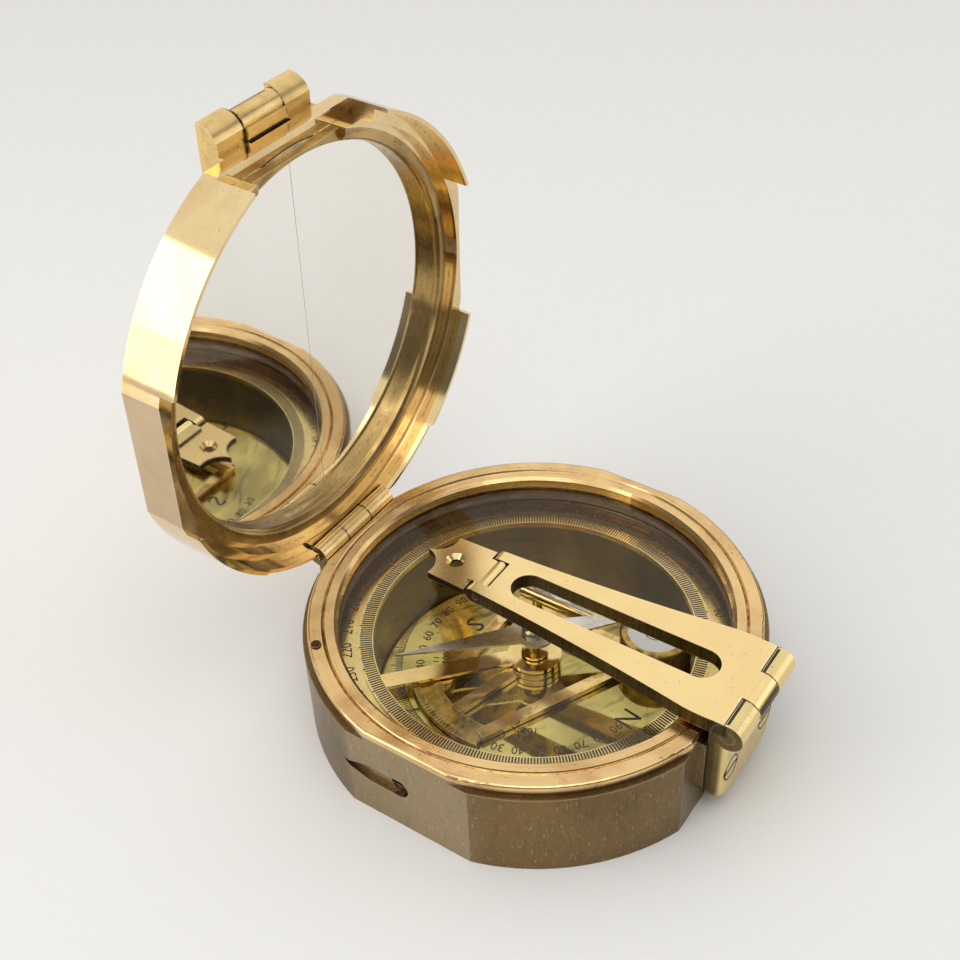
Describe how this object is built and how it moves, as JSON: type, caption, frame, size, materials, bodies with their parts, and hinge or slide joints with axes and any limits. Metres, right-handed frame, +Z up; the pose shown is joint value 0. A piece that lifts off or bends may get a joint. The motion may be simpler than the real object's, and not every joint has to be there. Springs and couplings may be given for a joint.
{
  "type": "inclinometer",
  "caption": "Round pocket inclinometer and compass in a flat-sided metal case, with a slotted folding sight arm, a hinged mirror lid, spirit levels and a turning graduated dial.",
  "frame": {"origin": "centre of the case's underside, on the axis of the compass needle and clinometer", "axes": "+Z up from the underside to the window; -Y towards the sight arm's hinge; +Y towards the lid's hinge; +X to the right of someone looking along the sight arm from its hinge"},
  "size_m": [0.068, 0.0848, 0.0895],
  "materials": {
    "case_brass": "worn satin",
    "polished_brass": "polished",
    "bezel_brass": "polished, fine radial scratches",
    "steel": "satin",
    "window": "clear",
    "vial_glass": "clear with spirit",
    "seal_rubber": "matte",
    "mirror_glass": "mirror, slightly cloudy"
  },
  "bodies": {
    "case": {"case_body": "case_brass", "bezel_ring": "bezel_brass", "window_glass": "window", "glass_seal": "seal_rubber", "dial_support_ring": "polished_brass", "scale_plate": "polished_brass", "scale_plate_screws": "steel", "sight_hinge_lug": "case_brass", "lug_screws": "steel", "sight_hinge_pin": "steel", "case_hinge_leaf": "case_brass", "case_leaf_screws": "steel", "lid_hinge_pin": "steel"},
    "dial": {"graduated_circle": "polished_brass"},
    "dial_drive": {"adjusting_screw": "steel"},
    "needle_lift_pin": {"lift_pin": "steel"},
    "needle_lift_rocker": {"needle_lift_lever": "polished_brass"},
    "needle_lift_sleeve": {"lift_collar": "polished_brass"},
    "needle": {"compass_needle": "steel", "needle_cap": "polished_brass"},
    "clinometer": {"clinometer_axle": "steel", "clinometer_lever": "steel", "spring_washer": "polished_brass", "vernier_arm": "polished_brass", "long_level_housing": "polished_brass", "long_level_vial": "vial_glass", "round_level_housing": "polished_brass", "round_level_vial": "vial_glass", "pivot_pin": "steel"},
    "sight": {"sight_arm": "polished_brass", "arm_tip_pin": "steel"},
    "sight_crown": {"sight_tip": "polished_brass"},
    "lid": {"lid_shell": "case_brass", "mirror": "mirror_glass", "mirror_retaining_ring": "polished_brass", "lid_hinge_leaf": "case_brass", "lid_leaf_screws": "steel", "peep_hinge_base": "case_brass", "peep_hinge_pin": "steel"},
    "lid_sight": {"lid_peep_sight": "case_brass"}
  },
  "joints": [
    {"name": "lid_hinge", "type": "hinge", "parent": "case", "child": "lid", "pos_m": [0, 0.0352, 0.01706], "axis": [-1, 0, 0], "range_deg": [-88.53, 51.5]},
    {"name": "sight_arm_hinge", "type": "hinge", "parent": "case", "child": "sight", "pos_m": [0, -0.0366, 0.0178], "axis": [1, 0, 0], "range_deg": [0, 175]},
    {"name": "sight_tip_hinge", "type": "hinge", "parent": "sight", "child": "sight_crown", "pos_m": [0, 0.0076, 0.0189], "axis": [1, 0, 0], "range_deg": [0, 90]},
    {"name": "lid_sight_hinge", "type": "hinge", "parent": "lid", "child": "lid_sight", "pos_m": [0, 0.04399, 0.08727], "axis": [1, 0, 0], "range_deg": [0, 170]},
    {"name": "dial_turn", "type": "hinge", "parent": "case", "child": "dial", "pos_m": [0, 0, 0.0107], "axis": [0, 0, 1], "continuous": true},
    {"name": "dial_screw_turn", "type": "hinge", "parent": "case", "child": "dial_drive", "pos_m": [-0.02906, 0.0016, 0.00831], "axis": [1, 0, 0], "continuous": true},
    {"name": "clinometer_turn", "type": "hinge", "parent": "case", "child": "clinometer", "pos_m": [0, 0, 0.0047], "axis": [0, 0, 1], "range_deg": [-90, 90]},
    {"name": "lift_pin_press", "type": "slide", "parent": "case", "child": "needle_lift_pin", "axis": [0, 0, -1], "range_m": [0, 0.00025], "stiffness_N_per_m": 200, "springref_m": -0.0003},
    {"name": "lift_rocker_tilt", "type": "hinge", "parent": "case", "child": "needle_lift_rocker", "pos_m": [-0.01919, 0.01827, 0.0063], "axis": [-0.6896, -0.7242, 0], "range_deg": [0, 2.03]},
    {"name": "lift_sleeve_rise", "type": "slide", "parent": "case", "child": "needle_lift_sleeve", "axis": [0, 0, 1], "range_m": [0, 0.00094]},
    {"name": "needle_turn", "type": "hinge", "parent": "needle_lift_sleeve", "child": "needle", "pos_m": [0, 0, 0.011], "axis": [0, 0, 1], "continuous": true}
  ],
  "couplings": [
    {"joint": "dial_screw_turn", "follows": "dial_turn", "ratio": 15},
    {"joint": "lift_rocker_tilt", "follows": "lift_pin_press", "rad_per_m": 140.85},
    {"joint": "lift_sleeve_rise", "follows": "lift_pin_press", "ratio": 3.7324}
  ]
}
